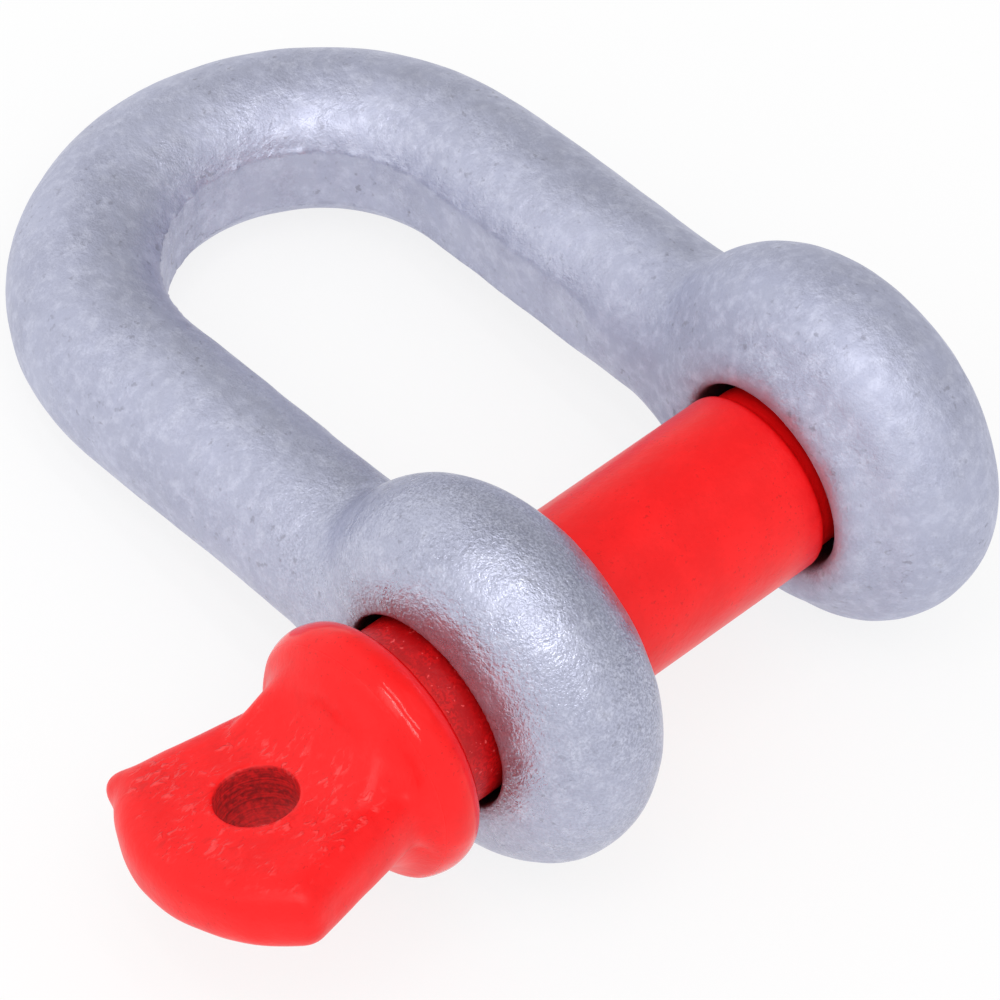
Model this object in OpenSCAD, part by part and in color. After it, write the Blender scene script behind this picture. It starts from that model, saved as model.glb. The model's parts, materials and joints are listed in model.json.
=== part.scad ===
// Screw pin chain shackle: a forged D bow with two eyes, and a screw pin with a fishtail tab.
// X runs along the pin, from the tab at -X to the threaded eye at +X.
// The origin is on the pin axis, midway between the eyes.
// The shackle lies as it comes to rest on a flat surface, on both eyes and on the crown.

/* [Bow] */
// Diameter of the bar that the bow is forged from
bar_d = 19; // [16:0.5:22]
// Clear width of the jaw between the eyes
jaw_w = 32; // [28:0.5:42]
// Distance from the pin axis to the trimmed inside of the crown
inside_len = 74; // [62:0.5:100]
// Outside diameter of the eyes
eye_d = 46; // [43:0.5:54]
// Fillet radius of the fork where a leg runs into its eye
fork_r = 5; // [2:0.5:9]
// Rounding of the rims of the eye holes
rim_r = 0.8; // [0.5:0.1:2.5]
// Depth of the flat left inside the bow where the flash was trimmed off
trim_depth = 0.9; // [0.3:0.1:2]
// Length over which the trimmed flat runs out towards each eye
trim_runout = 8; // [4:0.5:12]

/* [Pin] */
// Diameter of the pin's plain shank
pin_d = 22; // [18:0.5:25]
// Clearance on diameter round the shank in the plain hole of the near eye
hole_clear = 1.8; // [1:0.1:3]
// Height of the shoulder between the shank and the thread
shoulder_h = 1; // [0.5:0.1:2]
// Clearance on diameter round the thread in the threaded hole
thread_clear = 0.3; // [0.2:0.05:0.6]
// Clearance on diameter round the shank in the plain mouth of the far eye
mouth_clear = 0.9; // [0.6:0.1:2]
// Depth of the plain mouth in front of the thread in the far eye
mouth_depth = 5; // [4:0.25:8]
// Depth that the shoulder enters the far eye when the pin is screwed home
shoulder_in = 2.3; // [0.5:0.1:3.5]
// How far the pin's end stands out of the far eye when the pin is screwed home
end_out = 0.5; // [0:0.1:3]
// Chamfer on the pin's threaded end and on its shoulder
pin_chamfer = 1.2; // [0.4:0.1:2]
// How far the pin is screwed out from its home position
pin_out = 3.8; // [1:0.1:8]

/* [Collar and tab] */
// Diameter of the collar
collar_d = 30.5; // [28:0.5:38]
// Thickness of the collar
collar_t = 7.2; // [5:0.1:10]
// Radius of the crowned rim of the collar
collar_crown_r = 4.2; // [3.8:0.1:8]
// Length of the tab from the collar to the middle of its round end
tab_len = 25.8; // [21:0.2:34]
// Width of the tab across its two tips
tab_w = 32.6; // [28:0.2:38]
// Width of the tab at its root
tab_root_w = 24.8; // [18:0.2:27]
// Distance from the collar to the tips of the tab
tab_tip_u = 18.2; // [15:0.2:20]
// Thickness of the tab
tab_t = 8.8; // [6:0.1:10]
// Rounding of the edges of the tab's round end
tab_edge_r = 3; // [0.5:0.25:4]
// Diameter of the round boss between the collar and the tab
tab_boss_d = 24; // [20:0.5:26]
// How far the boss stands out from the collar
tab_boss_t = 1.25; // [0.5:0.25:3]
// Radius of the hollow run-out from the faces of the tab to the boss
tab_hollow_r = 8; // [6:0.25:9]
// Diameter of the hole through the tab
tab_hole_d = 9; // [5:0.25:11]
// Distance from the collar to the axis of the hole through the tab
tab_hole_u = 11.7; // [9:0.1:15]
// Turn of the tab about the pin axis, measured from the plane of the bow
tab_turn = -10; // [-90:1:90]

/* [Hidden] */
$fn = 96;

// Overlap that lets joined shapes and cuts run into each other
lap = 1;
// How far a rounding reaches past the faces that it joins
round_bite = 0.1;
// How much slimmer the arms of a fork are than the bar, and the angle by which they run into leg and eye
arm_sink = 0.1;
arm_lap_a = 3;
bar_r = bar_d / 2;
eye_r = eye_d / 2;
// Circle that the bar of an eye is bent round
ring_r = eye_r - bar_r;
leg_x = jaw_w / 2 + bar_r;
crown_y = inside_len - jaw_w / 2 - trim_depth;
// Start of a fork along its leg, and the angle at which its arms reach the eye
fork_y = sqrt((eye_r + fork_r) ^ 2 - (bar_r + fork_r) ^ 2);
fork_a = atan2(bar_r + fork_r, fork_y);
// Tilt at which the crown comes down to the surface that the eyes stand on
rest_tilt = asin((eye_r - bar_r) / (crown_y + leg_x));
trim_x = jaw_w / 2 + trim_depth;

pin_r = pin_d / 2;
hole_r = pin_r + hole_clear / 2;
mouth_r = pin_r + mouth_clear / 2;
thread_r = pin_r - shoulder_h;
thread_hole_r = thread_r + thread_clear / 2;
collar_r = collar_d / 2;
// Places along X in the home position
eye_in_x = jaw_w / 2;
eye_out_x = jaw_w / 2 + bar_d;
collar_face_x = -eye_out_x;
shoulder_x = eye_in_x + shoulder_in;
end_x = eye_out_x + end_out;

// Slope of the sides of the tab, and the arc of its round end through both tips
tab_slope = (tab_w - tab_root_w) / 2 / tab_tip_u;
tab_sag = tab_len - tab_tip_u;
tab_end_r = ((tab_w / 2) ^ 2 + tab_sag ^ 2) / 2 / tab_sag;
// Centre of the hollow on the faces of the tab
hollow_u = tab_boss_t + tab_hollow_r;
hollow_w = tab_t / 2 + tab_hollow_r;

// Turns shapes made about Z so that they lie about X, with their X along Y
module about_x() {
    rotate([90, 0, 90]) children();
}

// Part of a ring of round bar, from one angle to another
module bar_arc(centre_r, r, from, to) {
    rotate_extrude(angle = to - from, start = from)
        translate([centre_r, 0]) circle(r = r);
}

// One arm of a fork: the bar bends out of the leg and into the eye, above the middle plane
module fork_arm() {
    arm_r = fork_r + bar_r;
    intersection() {
        translate([0, fork_y, arm_r]) about_x()
            bar_arc(arm_r, bar_r - arm_sink, 180 + fork_a - arm_lap_a, 270 + arm_lap_a);
        translate([-eye_r, -eye_r, 0]) cube([eye_d, 3 * eye_r, eye_d]);
    }
}

// Leg, fork and eye on one side, before its hole is made
module leg_and_eye() {
    leg_end_y = (fork_y + ring_r) / 2;
    translate([0, leg_end_y, 0]) rotate([-90, 0, 0]) cylinder(r = bar_r, h = crown_y - leg_end_y);
    for (side = [0, 1]) mirror([0, 0, side]) fork_arm();
    about_x() bar_arc(ring_r, bar_r, 0, 360);
}

// Hole straight through an eye
module eye_hole(r) {
    about_x() cylinder(r = r, h = 2 * bar_d, center = true);
}

// Rounding of the rim of a hole, on the +X side of an eye
module rim_cut(r) {
    rim_x = sqrt(bar_r ^ 2 - (ring_r - r - rim_r) ^ 2) - rim_r + round_bite;
    translate([rim_x, 0, 0]) about_x() eye_rim(r);
}

// Plain hole for the shank, rounded on both sides
module plain_hole() {
    eye_hole(hole_r);
    rim_cut(hole_r);
    mirror([1, 0, 0]) rim_cut(hole_r);
}

// Hole for the thread, with a plain mouth on the inner side that ends in a cone
module threaded_hole() {
    eye_hole(thread_hole_r);
    rim_cut(thread_hole_r);
    translate([-bar_r, 0, 0]) about_x() {
        translate([0, 0, -lap]) cylinder(r = mouth_r, h = lap + mouth_depth);
        translate([0, 0, mouth_depth]) cylinder(r1 = mouth_r, r2 = thread_hole_r, h = mouth_r - thread_hole_r);
    }
    mirror([1, 0, 0]) rim_cut(mouth_r);
}

// Flare that rounds the rim of a hole
module eye_rim(r) {
    rotate_extrude() difference() {
        square([r + rim_r - round_bite, bar_r]);
        translate([r + rim_r - round_bite, 0]) circle(r = rim_r);
    }
}

// Outline of the punch that trimmed the flash from the inside of the bow
module trim_outline() {
    runout_y = fork_y + trim_runout;
    translate([0, crown_y]) circle(r = trim_x);
    polygon([
        [trim_x, crown_y],
        [trim_x, runout_y],
        [jaw_w / 2 - trim_depth, fork_y],
        [-jaw_w / 2 + trim_depth, fork_y],
        [-trim_x, runout_y],
        [-trim_x, crown_y],
    ]);
}

// The forged bow, lying in the plane of X and Y
module flat_bow() {
    difference() {
        union() {
            translate([0, crown_y, 0]) bar_arc(leg_x, bar_r, 0, 180);
            for (side = [-1, 1]) translate([side * leg_x, 0, 0]) leg_and_eye();
        }
        linear_extrude(height = 2 * bar_d, center = true) trim_outline();
        translate([-leg_x, 0, 0]) plain_hole();
        translate([leg_x, 0, 0]) threaded_hole();
    }
}

// Plan of the tab without its round end
module tab_plan() {
    root_v = tab_root_w / 2 - tab_slope * lap;
    end_v = tab_root_w / 2 + tab_slope * (tab_len + lap);
    polygon([[-lap, -root_v], [-lap, root_v], [tab_len + lap, end_v], [tab_len + lap, -end_v]]);
}

// Section of the tab along the pin: a flat blade that thickens in a hollow up to the boss
module tab_section() {
    difference() {
        translate([-lap, -collar_r]) square([tab_len + 2 * lap, collar_d]);
        for (side = [0, 1]) mirror([0, side]) {
            translate([hollow_u, hollow_w]) circle(r = tab_hollow_r);
            translate([hollow_u, tab_t / 2]) square([tab_len, collar_d]);
        }
    }
}

// Disc whose rim is the round end of the tab, with rounded edges
module tab_end() {
    edge_w = tab_t / 2 - tab_edge_r + round_bite;
    translate([tab_len - tab_end_r, 0, 0]) rotate_extrude() {
        translate([0, -collar_r]) square([tab_end_r - tab_edge_r, collar_d]);
        translate([0, -edge_w]) square([tab_end_r, 2 * edge_w]);
        for (side = [-1, 1]) translate([tab_end_r - tab_edge_r, side * edge_w]) circle(r = tab_edge_r);
    }
}

// Keeps all that is thicker than the blade within the round of the boss
module tab_round() {
    blade_t = tab_t + 2 * round_bite;
    translate([-lap, 0, 0]) about_x() cylinder(d = tab_boss_d, h = tab_len + 2 * lap);
    translate([-lap, -tab_w, -blade_t / 2]) cube([tab_len + 2 * lap, 2 * tab_w, blade_t]);
}

// The tab, along +X from the collar
module tab() {
    difference() {
        intersection() {
            linear_extrude(height = collar_d, center = true) tab_plan();
            rotate([90, 0, 0]) linear_extrude(height = 2 * tab_w, center = true) tab_section();
            tab_end();
            tab_round();
        }
        translate([tab_hole_u, 0, 0]) cylinder(d = tab_hole_d, h = collar_d, center = true);
    }
}

// The collar, along +X from the face that meets the eye
module collar() {
    about_x() rotate_extrude() intersection() {
        square([collar_r, collar_t]);
        translate([collar_r - collar_crown_r, collar_t / 2]) {
            circle(r = collar_crown_r);
            translate([-collar_r, -collar_crown_r]) square([collar_r, 2 * collar_crown_r]);
        }
    }
}

// Shank, shoulder and threaded end, along +X from inside the collar
module shank() {
    about_x() rotate_extrude() polygon([
        [0, collar_face_x - lap],
        [pin_r, collar_face_x - lap],
        [pin_r, shoulder_x - pin_chamfer / 2],
        [pin_r - pin_chamfer / 2, shoulder_x],
        [thread_r, shoulder_x],
        [thread_r, end_x - pin_chamfer],
        [thread_r - pin_chamfer, end_x],
        [0, end_x],
    ]);
}

module bow() {
    color([0.70, 0.72, 0.76]) rotate([-rest_tilt, 0, 0]) flat_bow();
}

module screw_pin() {
    color([0.90, 0.08, 0.08]) rotate([-rest_tilt, 0, 0]) translate([-pin_out, 0, 0]) {
        shank();
        translate([collar_face_x, 0, 0]) mirror([1, 0, 0]) collar();
        translate([collar_face_x - collar_t, 0, 0]) rotate([tab_turn, 0, 0]) mirror([1, 0, 0]) tab();
    }
}

bow();
screw_pin();
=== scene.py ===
"""Looks of a forged, galvanised chain shackle with a red painted screw pin, on the frame of its solids.

Shapes are written as distance fields in millimetres, in the plane of the bow: X along the pin,
Y from the pin to the crown, Z out of that plane. The bow lies on its eyes and crown, so the finished
meshes are turned down by REST_TILT and scaled to metres.
"""
import itertools
import json
import math

import bpy
import numpy as np
from mathutils import Matrix, Vector, noise


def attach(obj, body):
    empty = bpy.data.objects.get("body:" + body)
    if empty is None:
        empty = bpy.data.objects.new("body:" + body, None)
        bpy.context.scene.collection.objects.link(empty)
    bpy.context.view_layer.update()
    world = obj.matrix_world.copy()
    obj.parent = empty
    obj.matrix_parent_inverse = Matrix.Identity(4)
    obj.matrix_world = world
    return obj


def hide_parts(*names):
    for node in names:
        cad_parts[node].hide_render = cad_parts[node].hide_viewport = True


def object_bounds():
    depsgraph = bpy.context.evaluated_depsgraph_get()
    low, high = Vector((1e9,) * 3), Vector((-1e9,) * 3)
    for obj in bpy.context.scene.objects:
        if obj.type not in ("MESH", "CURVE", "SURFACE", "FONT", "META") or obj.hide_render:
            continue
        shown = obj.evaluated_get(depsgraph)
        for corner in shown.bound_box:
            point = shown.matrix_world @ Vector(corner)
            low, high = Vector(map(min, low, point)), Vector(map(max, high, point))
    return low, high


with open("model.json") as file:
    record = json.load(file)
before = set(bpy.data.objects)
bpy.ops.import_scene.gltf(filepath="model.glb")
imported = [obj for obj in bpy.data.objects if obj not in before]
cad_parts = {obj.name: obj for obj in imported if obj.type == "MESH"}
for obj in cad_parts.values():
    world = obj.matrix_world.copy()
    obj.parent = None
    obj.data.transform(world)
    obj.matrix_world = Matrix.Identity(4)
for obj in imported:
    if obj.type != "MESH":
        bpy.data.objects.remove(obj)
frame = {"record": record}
cad_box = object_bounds()

MM = 0.001
MOUNTS = {mount["name"]: mount for mount in frame["record"]["mounts"]}
SADDLE = Vector(MOUNTS["crown_saddle"]["axis"])
REST_TILT = math.atan2(SADDLE.z, -SADDLE.y)
TO_WORLD = Matrix.Rotation(-REST_TILT, 4, "X") @ Matrix.Scale(MM, 4)

# Sizes of the bow
BAR_R = 9.5
EYE_R = 23.0
JAW_W = 32.0
INSIDE_LEN = 74.0
FORK_R = 5.0
TRIM_DEPTH = 0.9
TRIM_RUNOUT = 8.0
RING_R = EYE_R - BAR_R
LEG_X = JAW_W / 2 + BAR_R
CROWN_Y = INSIDE_LEN - JAW_W / 2 - TRIM_DEPTH
ARM_R = FORK_R + BAR_R
FORK_Y = math.sqrt((EYE_R + FORK_R) ** 2 - ARM_R ** 2)
TRIM_X = JAW_W / 2 + TRIM_DEPTH
# Edge of the trimmed flat, seen on the section of the bar
FLAT_IN = LEG_X - TRIM_X
FLAT_HALF = math.sqrt(BAR_R ** 2 - FLAT_IN ** 2)

# Sizes of the pin and its holes
PIN_R = MOUNTS["pin_seat"]["dims"]["r_mm"]
HOLE_R = PIN_R + 0.9
MOUTH_R = PIN_R + 0.4
THREAD_R = PIN_R - 1.0
THREAD_HOLE_R = THREAD_R + 0.15
THREAD_PITCH = 2.5
THREAD_DEPTH = 1.2
THREAD_RELIEF = 3.0
MOUTH_X = JAW_W / 2 + 5.0
SHOULDER_X = JAW_W / 2 + 2.3
EYE_OUT_X = JAW_W / 2 + 2 * BAR_R
END_X = EYE_OUT_X + 0.5
PIN_CHAMFER = 1.2
PIN_OUT = 3.8

# Sizes of the collar and the tab
COLLAR_X = -EYE_OUT_X
COLLAR_R = 15.25
COLLAR_T = 7.2
COLLAR_CROWN_R = 4.2
TAB_LEN = 25.8
TAB_W = 32.6
TAB_ROOT_W = 24.8
TAB_TIP_U = 18.2
TAB_T = MOUNTS["tab_eye"]["dims"]["length_mm"]
TAB_BOSS_R = 12.0
TAB_BOSS_T = 1.25
TAB_HOLLOW_R = 8.0
TAB_HOLE_R = MOUNTS["tab_eye"]["dims"]["r_mm"]
TAB_HOLE_U = 11.7
TAB_TURN = math.radians(-10)
TAB_SLOPE = (TAB_W - TAB_ROOT_W) / 2 / TAB_TIP_U
TAB_SAG = TAB_LEN - TAB_TIP_U
TAB_END_R = ((TAB_W / 2) ** 2 + TAB_SAG ** 2) / 2 / TAB_SAG
ROOT_LAP = 1.0
HOLLOW_U = TAB_BOSS_T + TAB_HOLLOW_R
HOLLOW_W = TAB_T / 2 + TAB_HOLLOW_R

# Small forms left by forging and trimming: the lip round the far hole's mouth, which leans towards the
# crown, and the nub on one tip of the tab
LIP_R = 1.6
LIP_OUT = 2.4
LIP_IN = 1.1
NUB_R = 1.3
NUB_IN = 0.8
NUB_UP = 0.8
# Waves of the torn edge of the flat and of its bead: length, height and phase
TEAR_WAVES = [(11.0, 0.05, 0.3), (4.3, 0.05, 1.1), (1.9, 0.05, 2.0)]
BEAD_WAVES = [(13.0, 0.10, 0.0), (5.1, 0.12, 1.7), (2.3, 0.10, 0.4)]
BEAD_R = 0.14
BEAD_LEAST, BEAD_MOST = 0.03, 0.36
# Uneven height of the forged skin: grain size and height, and how far the skin is sunk to stay in its box
BOW_LUMPS, BOW_SUNK = [(16, 0.22), (6, 0.10), (2.4, 0.03)], 0.12
PIN_LUMPS, PIN_SUNK = [(9, 0.16), (3, 0.06)], 0.08
LUMP_RUNOUT = 3.0

# Softness of edges and joins, as the width over which two surfaces blend
RIM_SOFT = 0.9
FLAT_SOFT = 0.25
BEAD_SOFT = 0.4
LIP_SOFT = 4.0
COLLAR_SOFT = 1.6
TAB_SIDE_SOFT = 4.0
TAB_END_SOFT = 4.2
TAB_TIP_SOFT = 1.1
TAB_ROOT_SOFT = 2.4
BOSS_EDGE_SOFT = 2.0
NUB_SOFT = 2.2
HOLE_EDGE_SOFT = 0.5
SHOULDER_SOFT = 0.7

# Grid steps of the meshes
BOW_STEP = 0.6
PIN_STEP = 0.45


def smooth_min(a, b, width):
    """The lesser of two distances, rounded where they are alike."""
    share = np.clip(0.5 + 0.5 * (b - a) / width, 0, 1)
    return b + (a - b) * share - width * share * (1 - share)


def smooth_max(a, b, width):
    return -smooth_min(-a, -b, width)


def ripple(along, waves):
    """A sum of sine waves, each given by its length, height and phase."""
    return sum(height * np.sin(2 * np.pi * along / length + phase) for length, height, phase in waves)


def thread_height(x, y, z):
    """0 on the crest of a right-hand thread about X and 1 at its root, with narrow flats on both."""
    turn = (x / THREAD_PITCH - np.arctan2(z, y) / (2 * np.pi)) % 1
    return np.clip(1.3 * np.abs(2 * turn - 1) - 0.15, 0, 1)


def bow_field(p):
    """Distance to the surface of the bow."""
    x, y, z = p.T
    side = np.abs(x)
    past = np.maximum(y - CROWN_Y, 0)
    axis_gap = np.hypot(side, past)
    inward = LEG_X - axis_gap
    bar = np.sqrt(inward ** 2 + z ** 2 + np.maximum(RING_R - y, 0) ** 2) - BAR_R
    eye_x = LEG_X - side
    hole_gap = np.hypot(y, z)
    eye = np.hypot(hole_gap - RING_R, eye_x) - BAR_R
    arm_y = FORK_Y - y
    arm_z = ARM_R - np.abs(z)
    arm = np.hypot(np.hypot(arm_y, arm_z) - ARM_R, eye_x) - BAR_R
    in_fork = (arm_y > 0) & (arm_y * ARM_R < arm_z * FORK_Y)
    body = np.minimum(np.minimum(bar, eye), np.where(in_fork, arm, np.inf))

    along = np.sign(x) * (np.minimum(y, CROWN_Y) + LEG_X * np.arctan2(past, side))
    tear = ripple(along, TEAR_WAVES)
    flat_x = np.interp(y, [FORK_Y, FORK_Y + TRIM_RUNOUT], [JAW_W / 2 - TRIM_DEPTH, TRIM_X])
    body = smooth_max(body, flat_x + tear - axis_gap, FLAT_SOFT)
    # The bead stands out on the far leg and the crown, and on the upper side
    bead_r = np.clip(BEAD_R + ripple(along, BEAD_WAVES), BEAD_LEAST, BEAD_MOST)
    leg_share = np.where(x > 0, 0.6, 0.1)
    crown_share = np.clip((y - CROWN_Y) / 8, 0, 1) * np.interp(x, [-14, -4], [0.1, 1])
    bead_r = bead_r * np.maximum(leg_share, crown_share) * np.where(z > 0, 1.0, 0.4)
    bead = np.hypot(inward - FLAT_IN, np.abs(z) - FLAT_HALF) - bead_r
    bead = np.where(y > FORK_Y + TRIM_RUNOUT, bead, BAR_R)
    body = smooth_min(body, bead, BEAD_SOFT)
    lip_x = JAW_W / 2 + LIP_IN + y / np.maximum(hole_gap, 1)
    lip = np.hypot(hole_gap - MOUTH_R - LIP_OUT, x - lip_x) - LIP_R
    body = smooth_min(body, lip, LIP_SOFT)

    threaded_r = THREAD_HOLE_R + THREAD_DEPTH * thread_height(x, y, z)
    mouth_r = np.minimum(MOUTH_R, MOUTH_R + MOUTH_X - x)
    hole_r = np.where(x < 0, HOLE_R, np.maximum(threaded_r, mouth_r))
    return smooth_max(body, hole_r - hole_gap, RIM_SOFT)


def tab_field(u, v, w):
    """Distance to the tab: u from the collar to its round end, v across it and w through it."""
    end = np.hypot(u - (TAB_LEN - TAB_END_R), v) - TAB_END_R
    edge = (np.abs(v) - TAB_ROOT_W / 2 - TAB_SLOPE * u) / math.hypot(1, TAB_SLOPE)
    plan = smooth_max(end, edge, TAB_TIP_SOFT)
    hollow = TAB_HOLLOW_R - np.hypot(HOLLOW_U - u, np.maximum(HOLLOW_W - np.abs(w), 0))
    flat = np.abs(w) - TAB_T / 2
    faces = np.where(u < HOLLOW_U, hollow, flat)
    soft = np.interp(end - edge, [-3, 3], [TAB_SIDE_SOFT, TAB_END_SOFT])
    blade = smooth_max(plan, flat, soft)
    boss = smooth_max(smooth_max(plan, faces, soft), np.hypot(v, w) - TAB_BOSS_R, BOSS_EDGE_SOFT)
    nub = np.sqrt((u - TAB_TIP_U) ** 2 + (v - TAB_W / 2 + NUB_IN) ** 2 + (w - NUB_UP) ** 2) - NUB_R
    return np.maximum(smooth_min(np.minimum(blade, boss), nub, NUB_SOFT), -u - ROOT_LAP)


def tab_axes(p):
    """Coordinates of points along, across and through the tab."""
    x, y, z = p.T
    c, s = math.cos(TAB_TURN), math.sin(TAB_TURN)
    return COLLAR_X - COLLAR_T - PIN_OUT - x, y * c + z * s, z * c - y * s


def pin_field(p):
    """Distance to the surface of the screw pin, where it stands in the photographed position."""
    x, y, z = p.T
    x = x + PIN_OUT
    gap = np.hypot(y, z)
    shank = smooth_max(gap - PIN_R, x - SHOULDER_X, SHOULDER_SOFT)
    cut = np.clip((x - SHOULDER_X - THREAD_RELIEF) / THREAD_PITCH, 0, 1)
    thread = gap - THREAD_R + THREAD_DEPTH * cut * thread_height(x, y, z)
    chamfer = (gap + x - THREAD_R - END_X + PIN_CHAMFER) * math.sqrt(0.5)
    thread = np.maximum(np.maximum(thread, chamfer), x - END_X)
    stem = np.maximum(np.minimum(shank, thread), COLLAR_X - ROOT_LAP - x)

    from_middle = np.abs(x - COLLAR_X + COLLAR_T / 2)
    crown = np.hypot(np.maximum(gap - COLLAR_R + COLLAR_CROWN_R, 0), from_middle) - COLLAR_CROWN_R
    collar = smooth_max(crown, from_middle - COLLAR_T / 2, COLLAR_SOFT)

    u, v, w = tab_axes(p)
    body = np.minimum(stem, smooth_min(collar, tab_field(u, v, w), TAB_ROOT_SOFT))
    return smooth_max(body, TAB_HOLE_R - np.hypot(u - TAB_HOLE_U, v), HOLE_EDGE_SOFT)


def settle(field, verts, reach, passes=3):
    """Moves points onto the zero surface of a field, along its gradient."""
    eps = 0.01
    for _ in range(passes):
        slope = np.stack([field(verts + e) - field(verts - e) for e in eps * np.eye(3)], 1) / (2 * eps)
        pull = -field(verts) / np.maximum((slope ** 2).sum(1), 1e-3)
        verts = verts + np.clip(pull[:, None] * slope, -reach, reach)
    return verts


def mesh_field(field, low, high, step, relax=4):
    """A closed mesh of four-sided faces on the zero surface of a field, with points spread evenly."""
    axes = [np.arange(a - 2 * step, b + 3 * step, step) for a, b in zip(low, high)]
    grid = [np.stack(np.meshgrid(x, *axes[1:], indexing="ij"), -1) for x in axes[0]]
    values = np.stack([field(g.reshape(-1, 3)).reshape(g.shape[1:3]) for g in grid])
    inside = values < 0
    corners = list(itertools.product((0, 1), repeat=3))
    near, far = slice(None, -1), slice(1, None)
    count = sum(inside[tuple(far if o else near for o in c)].astype(np.int8) for c in corners)
    cells = (count > 0) & (count < 8)
    number = np.full(cells.shape, -1)
    number[cells] = np.arange(cells.sum())
    base = np.argwhere(cells)

    total, hits = np.zeros((len(base), 3)), np.zeros(len(base))
    for axis, corner in itertools.product(range(3), corners):
        if corner[axis]:
            continue
        unit = np.eye(3, dtype=int)[axis]
        start = base + np.array(corner)
        a, b = values[tuple(start.T)], values[tuple((start + unit).T)]
        crosses = (a < 0) != (b < 0)
        share = np.where(crosses, a / np.where(crosses, a - b, 1), 0)
        total += np.where(crosses[:, None], start + share[:, None] * unit, 0)
        hits += crosses
    verts = np.array([axis[0] for axis in axes]) + step * total / hits[:, None]

    quads = []
    for axis in range(3):
        unit, u, v = (np.eye(3, dtype=int)[(axis + i) % 3] for i in range(3))
        window = [slice(1, -1)] * 3
        window[axis] = slice(None, -1)
        lower = inside[tuple(window)]
        window[axis] = slice(1, None)
        upper = inside[tuple(window)]
        place = np.argwhere(lower != upper) + u + v
        ring = np.stack([number[tuple((place - shift).T)] for shift in (u + v, v, 0 * u, u)], 1)
        outward = lower[lower != upper]
        quads.append(np.where(outward[:, None], ring, ring[:, ::-1]))
    quads = np.concatenate(quads)

    verts = settle(field, verts, step)
    ends = np.concatenate([quads[:, [i, (i + 1) % 4]] for i in range(4)])
    degree = np.bincount(ends[:, 0], minlength=len(verts))[:, None]
    for _ in range(relax):
        mean = np.stack([np.bincount(ends[:, 0], verts[ends[:, 1], i], len(verts)) for i in range(3)], 1)
        verts = settle(field, (verts + mean / degree) / 2, step, passes=2)
    return verts, quads


def normals_of(field, verts):
    eps = 0.05
    slope = np.stack([field(verts + e) - field(verts - e) for e in eps * np.eye(3)], 1)
    return slope / np.linalg.norm(slope, axis=1)[:, None]


def forge_marks(verts, lumps):
    """Uneven height of a forged or painted surface: noise given by its grain size and its height."""
    height = np.zeros(len(verts))
    for grain, size in lumps:
        height += [size * noise.noise(Vector(v) / grain) for v in verts.tolist()]
    return height


def add_piece(name, verts, quads, material, body, node):
    """Makes a mesh piece that replaces a solid of the frame and moves with its body."""
    mesh = bpy.data.meshes.new(name)
    mesh.from_pydata(verts.tolist(), [], quads.tolist())
    mesh.transform(TO_WORLD)
    mesh.materials.append(material)
    mesh.shade_smooth()
    piece = bpy.data.objects.new(name, mesh)
    bpy.context.scene.collection.objects.link(piece)
    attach(piece, body)
    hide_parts(node)


class Shader:
    """Builds the nodes of one material."""

    def __init__(self, name):
        self.material = bpy.data.materials.new(name)
        self.material.use_nodes = True
        self.tree = self.material.node_tree
        self.bsdf = self.tree.nodes["Principled BSDF"]
        self.place = self.node("ShaderNodeTexCoord").outputs["Object"]

    def node(self, kind, inputs=None, **settings):
        node = self.tree.nodes.new(kind)
        for key, value in settings.items():
            setattr(node, key, value)
        for key, value in (inputs or {}).items():
            self.feed(node.inputs[key], value)
        return node

    def feed(self, socket, value):
        if isinstance(value, bpy.types.NodeSocket):
            self.tree.links.new(value, socket)
        else:
            socket.default_value = value

    def noise(self, grain_mm, detail=3.0, roughness=0.55, distortion=0.0, place=None):
        """Noise from 0 to 1, with grains of about that size."""
        inputs = {"Vector": place or self.place, "Scale": 1 / (grain_mm * MM), "Detail": detail,
                  "Roughness": roughness, "Distortion": distortion}
        return self.node("ShaderNodeTexNoise", inputs).outputs["Fac"]

    def range(self, value, low, high, to_low=0.0, to_high=1.0):
        """Maps low to high onto to_low to to_high, and holds the ends."""
        inputs = {"Value": value, "From Min": low, "From Max": high, "To Min": to_low, "To Max": to_high}
        return self.node("ShaderNodeMapRange", inputs, interpolation_type="SMOOTHSTEP").outputs["Result"]

    def math(self, operation, a, b=0.0):
        return self.node("ShaderNodeMath", {0: a, 1: b}, operation=operation).outputs[0]

    def vector(self, operation, a, b=(0, 0, 0)):
        node = self.node("ShaderNodeVectorMath", {0: a, 1: b}, operation=operation)
        return node.outputs["Value" if operation in ("LENGTH", "DOT_PRODUCT") else "Vector"]

    def along(self, direction):
        """Distance along a direction, in metres."""
        return self.vector("DOT_PRODUCT", self.place, direction)

    def line_gap(self, point, direction):
        """Distance from a line, in metres."""
        from_point = self.vector("SUBTRACT", self.place, point)
        return self.vector("LENGTH", self.vector("CROSS_PRODUCT", from_point, direction))

    def mix(self, share, a, b):
        """Colour a where share is 0 and b where it is 1."""
        node = self.node("ShaderNodeMix", data_type="RGBA")
        for key, value in (("Factor_Float", share), ("A_Color", a), ("B_Color", b)):
            self.feed(next(s for s in node.inputs if s.identifier == key), value)
        return next(s for s in node.outputs if s.identifier == "Result_Color")

    def bump(self, height, depth_mm, below=None):
        inputs = {"Height": height, "Distance": depth_mm * MM, "Strength": 1.0}
        if below is not None:
            inputs["Normal"] = below
        return self.node("ShaderNodeBump", inputs).outputs["Normal"]

    def set(self, **sockets):
        for key, value in sockets.items():
            self.feed(self.bsdf.inputs[key.replace("_", " ").title().replace("Ior", "IOR")], value)


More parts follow.
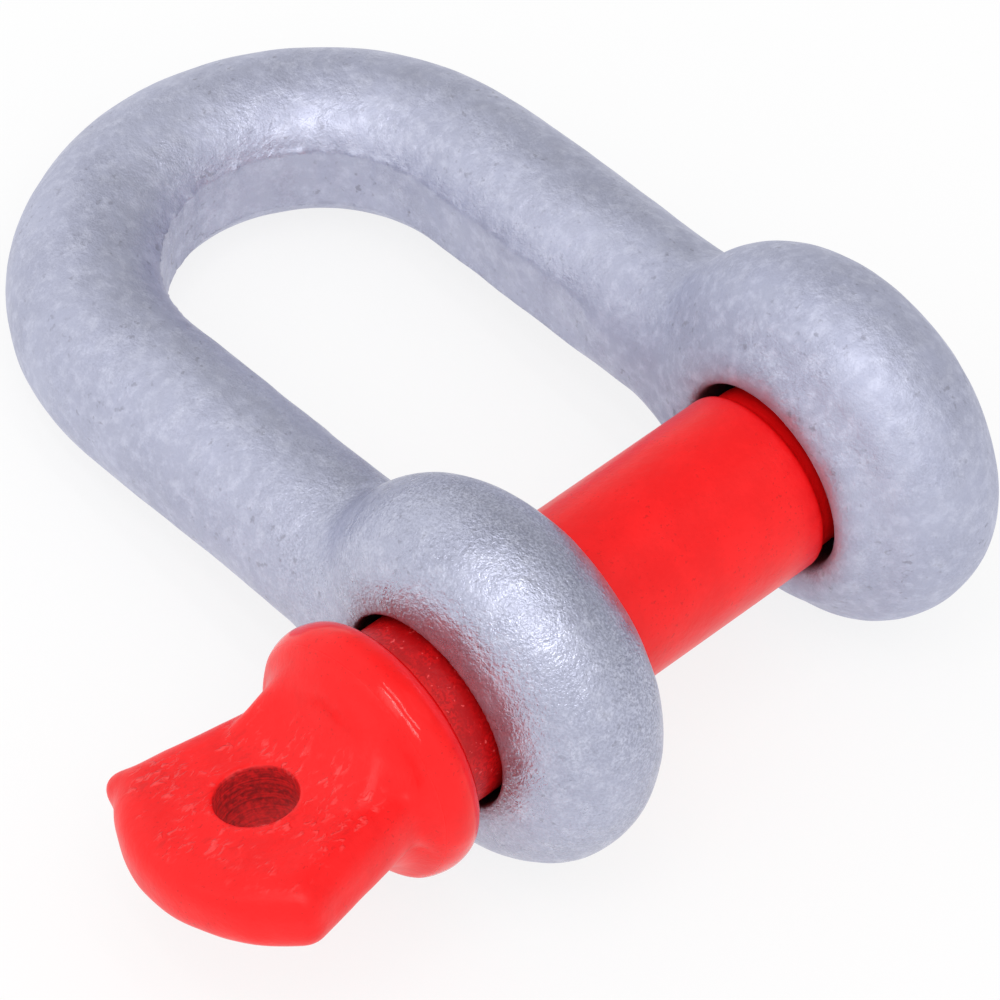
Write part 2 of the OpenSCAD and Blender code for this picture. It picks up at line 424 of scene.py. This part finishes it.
# Colours of the zinc
ZINC_LOW, ZINC_HIGH = (0.46, 0.477, 0.605, 1), (0.52, 0.54, 0.675, 1)
ZINC_PALE = (0.64, 0.66, 0.795, 1)
# Dark sand: grain, and towards the near eye's jaw also painted shade
ZINC_SAND_AND_SHADE = (0.30, 0.31, 0.41, 1)
ZINC_SPECK = (0.24, 0.24, 0.30, 1)
# Painted shade for the inside of the eye holes
HOLE_SHADE = (0.06, 0.058, 0.066, 1)

# Colours of the paint
RED_LOW, RED_HIGH = (0.86, 0.003, 0.004, 1), (0.95, 0.006, 0.007, 1)
# Darker red of dust specks, and painted shade between the tab's folds
RED_DUST_AND_SHADE = (0.62, 0.002, 0.003, 1)
# Painted highlight on the ridges of the tab's folds
RED_RIDGE_HIGHLIGHT = (1.0, 0.09, 0.09, 1)
# Red of the neck beside the collar: thinly painted, darkened as painted shade, with painted glints
THIN_SHADED_LOW, THIN_SHADED_HIGH = (0.52, 0.004, 0.006, 1), (0.72, 0.006, 0.008, 1)
THIN_SHADED_DARK = (0.50, 0.003, 0.005, 1)
THIN_GLINT = (0.85, 0.08, 0.08, 1)
# Painted shade on the wall of the tab's hole, lighter and darker in rings
BORE_SHADE_LOW, BORE_SHADE_HIGH = (0.24, 0.002, 0.004, 1), (0.66, 0.008, 0.010, 1)


def zinc_material():
    """Hot-dip zinc: pale bluish grey, clouded and mottled, with painted shade inside the eye holes.

    The near eye is shinier and sandier than the rest, most of all towards the jaw, where the darker sand is
    also painted shade; the far eye is duller.
    """
    s = Shader("galvanised_zinc")
    clouds = s.range(s.noise(12, detail=4, roughness=0.6), 0.3, 0.7)
    colour = s.mix(clouds, ZINC_LOW, ZINC_HIGH)
    patches = s.range(s.noise(1.6, detail=4, roughness=0.65), 0.42, 0.72)
    colour = s.mix(s.math("MULTIPLY", patches, 0.65), colour, ZINC_PALE)
    x = s.along((1, 0, 0))
    eyes = s.range(s.along((0, 1, 0)), 18 * MM, 34 * MM, 1.0, 0.0)
    near_eye = s.math("MULTIPLY", eyes, s.range(x, -22 * MM, -6 * MM, 1.0, 0.0))
    # Towards the jaw the near eye gets more dark sand: grain, and painted shade for the dark band it shows
    # there.
    jaw_grain_and_shade = s.math("MULTIPLY", near_eye, s.range(x, -29 * MM, -22 * MM))
    rough = s.range(s.noise(7, detail=3, roughness=0.6), 0.36, 0.64, 0.1, 0.5)
    rough = s.math("ADD", rough, s.math("MULTIPLY", near_eye, 0.5))
    sand = s.range(s.noise(0.3, detail=1), 0.38, 0.62)
    sandy_and_shaded = s.math("ADD", s.math("MULTIPLY", rough, 0.4), s.math("MULTIPLY", jaw_grain_and_shade, 0.35))
    colour = s.mix(s.math("MULTIPLY", sand, sandy_and_shaded), colour, ZINC_SAND_AND_SHADE)
    specks = s.math("MULTIPLY", s.range(s.noise(1.0, detail=2), 0.61, 0.73), s.range(s.noise(8), 0.46, 0.62))
    colour = s.mix(s.math("MULTIPLY", specks, 0.5), colour, ZINC_SPECK)
    # The eye holes' walls are coloured near black: painted shade inside the holes.
    hole_edge = s.range(x, -5 * MM, 5 * MM, HOLE_R * MM, MOUTH_R * MM)
    past_edge = s.math("SUBTRACT", s.line_gap((0, 0, 0), (1, 0, 0)), hole_edge)
    colour = s.mix(s.range(past_edge, -0.1 * MM, 0.4 * MM, 1.0, 0.0), colour, HOLE_SHADE)
    skin = s.bump(s.noise(5, detail=2), 0.2)
    skin = s.bump(s.noise(1.5, detail=3, roughness=0.7, distortion=0.15), 0.15, skin)
    skin = s.bump(s.math("MULTIPLY", s.noise(0.5, detail=2, roughness=0.7), rough), 0.22, skin)
    s.set(base_color=colour, metallic=0.78, normal=skin)
    far_dull = s.math("MULTIPLY", eyes, s.range(x, -10 * MM, 10 * MM, -0.14, 0.12))
    s.set(roughness=s.math("ADD", s.range(s.noise(3, detail=3), 0.3, 0.7, 0.40, 0.56), far_dull))
    return s.material


def paint_material():
    """Red paint: glossy on the collar, wrinkled on the tab's faces with painted highlights on the folds and
    painted shade between them, satin on the shank.

    On the neck beside the collar it is thinly painted, darkened by painted shade and flecked with painted
    glints; in the tab's hole it is darkened by painted shade.
    """
    s = Shader("red_paint")
    tone = s.range(s.noise(7, detail=6, roughness=0.7), 0.35, 0.65)
    colour = s.mix(tone, RED_LOW, RED_HIGH)
    dust = s.math("MULTIPLY", s.range(s.noise(0.4, detail=1), 0.62, 0.74), s.range(s.noise(6), 0.42, 0.6))
    colour = s.mix(s.math("MULTIPLY", dust, 0.6), colour, RED_DUST_AND_SHADE)
    x = s.along((1, 0, 0))
    past_tab = (-45.5 * MM, -43.5 * MM)
    past_collar = (-40 * MM, -38 * MM)
    # Between the collar and the near eye the shank is thinly painted and grainy, made darker as painted
    # shade, with painted glints.
    neck = s.range(x, (COLLAR_X - PIN_OUT + 0.2) * MM, (COLLAR_X - PIN_OUT + 1.2) * MM)
    neck = s.math("MULTIPLY", neck, s.range(x, -28 * MM, -22 * MM, 1.0, 0.0))
    thin_and_shaded = s.range(s.noise(2.4, detail=4, roughness=0.6), 0.35, 0.65)
    thin_and_shaded = s.mix(thin_and_shaded, THIN_SHADED_LOW, THIN_SHADED_HIGH)
    thin_and_shaded = s.mix(s.range(s.noise(0.35, detail=1), 0.4, 0.55), THIN_SHADED_DARK, thin_and_shaded)
    thin_and_shaded = s.mix(s.range(s.noise(0.5, detail=1), 0.68, 0.76), thin_and_shaded, THIN_GLINT)
    colour = s.mix(neck, colour, thin_and_shaded)
    eye = MOUNTS["tab_eye"]
    through = s.along(eye["axis"])
    hole_gap = s.line_gap(eye["pos_m"], eye["axis"])
    # The wall of the tab's hole is coloured dark red as painted shade, with ring marks.
    bored = s.range(hole_gap, (TAB_HOLE_R + 0.02) * MM, (TAB_HOLE_R + 0.25) * MM, 1.0, 0.0)
    turns = {"W": through, "Scale": 1 / (0.35 * MM), "Detail": 1.0}
    rings = s.node("ShaderNodeTexNoise", turns, noise_dimensions="1D")
    rings = s.math("ADD", s.math("MULTIPLY", rings.outputs["Fac"], 0.6), s.noise(0.6, detail=3))
    colour = s.mix(bored, colour, s.mix(s.range(rings, 0.55, 1.05), BORE_SHADE_LOW, BORE_SHADE_HIGH))

    faces = s.range(s.math("ABSOLUTE", through), 0.40 * TAB_T * MM, 0.48 * TAB_T * MM)
    faces = s.math("MULTIPLY", faces, s.range(x, -51 * MM, -48 * MM, 1.0, 0.0))
    brush = {"Vector": s.place, "Rotation": (0, 0, math.radians(42)), "Scale": (0.5, 1, 0.6)}
    drag = s.node("ShaderNodeMapping", brush)
    folds = s.noise(0.8, detail=2, distortion=0.5, place=drag.outputs["Vector"])
    folded = s.math("MULTIPLY", s.range(s.noise(5, detail=2), 0.38, 0.58), faces)
    wrinkles = s.math("MULTIPLY", s.range(folds, 0.52, 0.7), folded)
    fold_shade = s.math("MULTIPLY", s.range(folds, 0.3, 0.44, 1.0, 0.0), folded)
    # The folds' ridges get a painted highlight, and the hollows between them painted shade.
    colour = s.mix(s.math("MULTIPLY", wrinkles, 0.6), colour, RED_RIDGE_HIGHLIGHT)
    colour = s.mix(s.math("MULTIPLY", fold_shade, 0.4), colour, RED_DUST_AND_SHADE)
    skin = s.bump(s.noise(6, detail=2), 0.2)
    skin = s.bump(wrinkles, 0.13, skin)
    collar = s.math("SUBTRACT", s.range(x, *past_tab), s.range(x, *past_collar))
    grain = s.math("MULTIPLY", s.noise(0.6, detail=2), s.range(collar, 0.0, 1.0, 1.0, 0.15))
    skin = s.bump(grain, 0.04, skin)
    skin = s.bump(s.math("MULTIPLY", rings, bored), 0.05, skin)
    dull = s.math("ADD", s.range(x, *past_tab, 0.36, 0.09), s.range(x, *past_collar, 0.0, 0.24))
    dull = s.math("ADD", dull, s.math("MULTIPLY", bored, 0.4))
    s.set(base_color=colour, normal=skin, roughness=dull, specular_ior_level=0.31)
    return s.material


def make_bow():
    low, high = (-EYE_OUT_X, -EYE_R, -EYE_R), (EYE_OUT_X, CROWN_Y + LEG_X + BAR_R, EYE_R)
    verts, quads = mesh_field(bow_field, low, high, BOW_STEP)
    hole_gap = np.hypot(verts[:, 1], verts[:, 2])
    free = np.clip((hole_gap - HOLE_R) / LUMP_RUNOUT, 0, 1)
    height = free * (forge_marks(verts, BOW_LUMPS) - BOW_SUNK)
    verts = verts + height[:, None] * normals_of(bow_field, verts)
    add_piece("bow_forging", verts, quads, zinc_material(), "bow", "bow")


def make_pin():
    end = PIN_OUT + EYE_OUT_X + COLLAR_T + TAB_LEN
    low, high = (-end, -TAB_W / 2 - 1, -TAB_W / 2 - 1), (END_X - PIN_OUT, TAB_W / 2 + 1, TAB_W / 2 + 1)
    verts, quads = mesh_field(pin_field, low, high, PIN_STEP)
    head = np.clip((COLLAR_X - PIN_OUT - verts[:, 0]) / LUMP_RUNOUT, 0, 1)
    height = head * (forge_marks(verts, PIN_LUMPS) - PIN_SUNK)
    verts = verts + height[:, None] * normals_of(pin_field, verts)
    add_piece("painted_pin", verts, quads, paint_material(), "pin", "screw_pin")


# The photograph's view, given in the plane of the bow
VIEW_AZIMUTH = math.radians(-41.83)
VIEW_ELEVATION = math.radians(46.67)
VIEW_ROLL = math.radians(-1.24)
VIEW_TARGET = Vector((-7.82, 17.29, 0.0))
VIEW_DISTANCE = 666.8
FOCAL_IN_WIDTHS = 6.071


def make_camera():
    back = Vector((
        math.sin(VIEW_AZIMUTH) * math.cos(VIEW_ELEVATION),
        -math.cos(VIEW_AZIMUTH) * math.cos(VIEW_ELEVATION),
        math.sin(VIEW_ELEVATION),
    ))
    level = Vector((math.cos(VIEW_AZIMUTH), math.sin(VIEW_AZIMUTH), 0))
    right = Matrix.Rotation(VIEW_ROLL, 3, back) @ level
    up = back.cross(right)
    turn = Matrix.Rotation(-REST_TILT, 3, "X")
    axes = turn @ Matrix((right, up, back)).transposed()
    data = bpy.data.cameras.new("camera")
    data.sensor_width = 36
    data.lens = data.sensor_width * FOCAL_IN_WIDTHS
    data.clip_start = 0.01
    camera = bpy.data.objects.new("camera", data)
    camera.matrix_world = Matrix.Translation(TO_WORLD @ (VIEW_TARGET + VIEW_DISTANCE * back)) @ axes.to_4x4()
    bpy.context.scene.collection.objects.link(camera)
    bpy.context.scene.camera = camera


def toward(bearing, elevation):
    """Direction at a bearing in degrees from +Y towards +X, and at an elevation."""
    b, e = math.radians(bearing), math.radians(elevation)
    return Vector((math.sin(b) * math.cos(e), math.cos(b) * math.cos(e), math.sin(e)))


OBJECT_CENTRE = Vector((-0.01, 0.025, 0))
FLOOR_LIFT = 0.8
FLOOR_HALF = 4.0
LAMP_DISTANCE = 0.7
# Name, bearing, elevation, width and height in metres, power in watts, and lean in degrees. The two front
# lamps are long strips that run round the pin's axis, so they draw streaks along the collar and near eye.
LAMPS = (
    ("key_left", -95, 58, (0.18, 0.30), 0.24, 0),
    ("low_left", -75, 27, (0.28, 0.06), 0.08, 0),
    ("key_front", -152, 74, (0.04, 0.50), 0.38, 27),
    ("low_front", -127, 64, (0.032, 0.50), 0.58, 50),
    ("strip_right", 118, 56, (0.30, 0.40), 0.08, 0),
)


def add_softbox(name, bearing, elevation, size, power, lean):
    data = bpy.data.lights.new(name, "AREA")
    data.shape = "RECTANGLE"
    data.size, data.size_y = size
    data.energy = power
    lamp = bpy.data.objects.new(name, data)
    way = toward(bearing, elevation)
    turn = way.to_track_quat("Z", "Y").to_matrix().to_4x4() @ Matrix.Rotation(math.radians(lean), 4, "Z")
    lamp.matrix_world = Matrix.Translation(OBJECT_CENTRE + LAMP_DISTANCE * way) @ turn
    bpy.context.scene.collection.objects.link(lamp)


def make_world():
    """A pale studio all round, with its dim side where the bow shows a darker band."""
    world = bpy.data.worlds.new("studio")
    bpy.context.scene.world = world
    world.use_nodes = True
    tree = world.node_tree
    place = tree.nodes.new("ShaderNodeTexCoord")
    dot = tree.nodes.new("ShaderNodeVectorMath")
    dot.operation = "DOT_PRODUCT"
    dot.inputs[1].default_value = toward(80, 20)
    tree.links.new(place.outputs["Generated"], dot.inputs[0])
    ramp = tree.nodes.new("ShaderNodeMapRange")
    ramp.interpolation_type = "SMOOTHSTEP"
    for key, value in (("From Min", 0.32), ("From Max", 0.9), ("To Min", 1.0), ("To Max", 0.52)):
        ramp.inputs[key].default_value = value
    tree.links.new(dot.outputs["Value"], ramp.inputs["Value"])
    background = tree.nodes["Background"]
    background.inputs["Color"].default_value = (1.0, 1.0, 1.0, 1)
    tree.links.new(ramp.outputs["Result"], background.inputs["Strength"])


def floor_material():
    """White, and lifted most of the way to plain white where the camera or a reflection sees it."""
    material = bpy.data.materials.new("floor_white")
    material.use_nodes = True
    tree = material.node_tree
    bsdf = tree.nodes["Principled BSDF"]
    bsdf.inputs["Base Color"].default_value = (0.92, 0.92, 0.92, 1)
    bsdf.inputs["Roughness"].default_value = 0.9
    bsdf.inputs["Specular IOR Level"].default_value = 0.0
    path = tree.nodes.new("ShaderNodeLightPath")
    seen = path.outputs["Is Camera Ray"]
    for ray in ("Is Glossy Ray", "Is Transmission Ray"):
        either = tree.nodes.new("ShaderNodeMath")
        either.operation = "MAXIMUM"
        tree.links.new(seen, either.inputs[0])
        tree.links.new(path.outputs[ray], either.inputs[1])
        seen = either.outputs[0]
    share = tree.nodes.new("ShaderNodeMath")
    share.operation = "MULTIPLY"
    tree.links.new(seen, share.inputs[0])
    share.inputs[1].default_value = FLOOR_LIFT
    white = tree.nodes.new("ShaderNodeEmission")
    mixed = tree.nodes.new("ShaderNodeMixShader")
    tree.links.new(share.outputs[0], mixed.inputs["Fac"])
    tree.links.new(bsdf.outputs["BSDF"], mixed.inputs[1])
    tree.links.new(white.outputs["Emission"], mixed.inputs[2])
    tree.links.new(mixed.outputs["Shader"], tree.nodes["Material Output"].inputs["Surface"])
    return material


def make_floor():
    z = cad_box[0].z
    corners = [(x * FLOOR_HALF, y * FLOOR_HALF, z) for x, y in ((-1, -1), (1, -1), (1, 1), (-1, 1))]
    mesh = bpy.data.meshes.new("floor")
    mesh.from_pydata(corners, [], [(0, 1, 2, 3)])
    mesh.materials.append(floor_material())
    floor = bpy.data.objects.new("floor", mesh)
    bpy.context.scene.collection.objects.link(floor)


make_bow()
make_pin()
make_camera()
make_world()
make_floor()
for lamp_values in LAMPS:
    add_softbox(*lamp_values)
bpy.context.scene.view_settings.view_transform = "Standard"
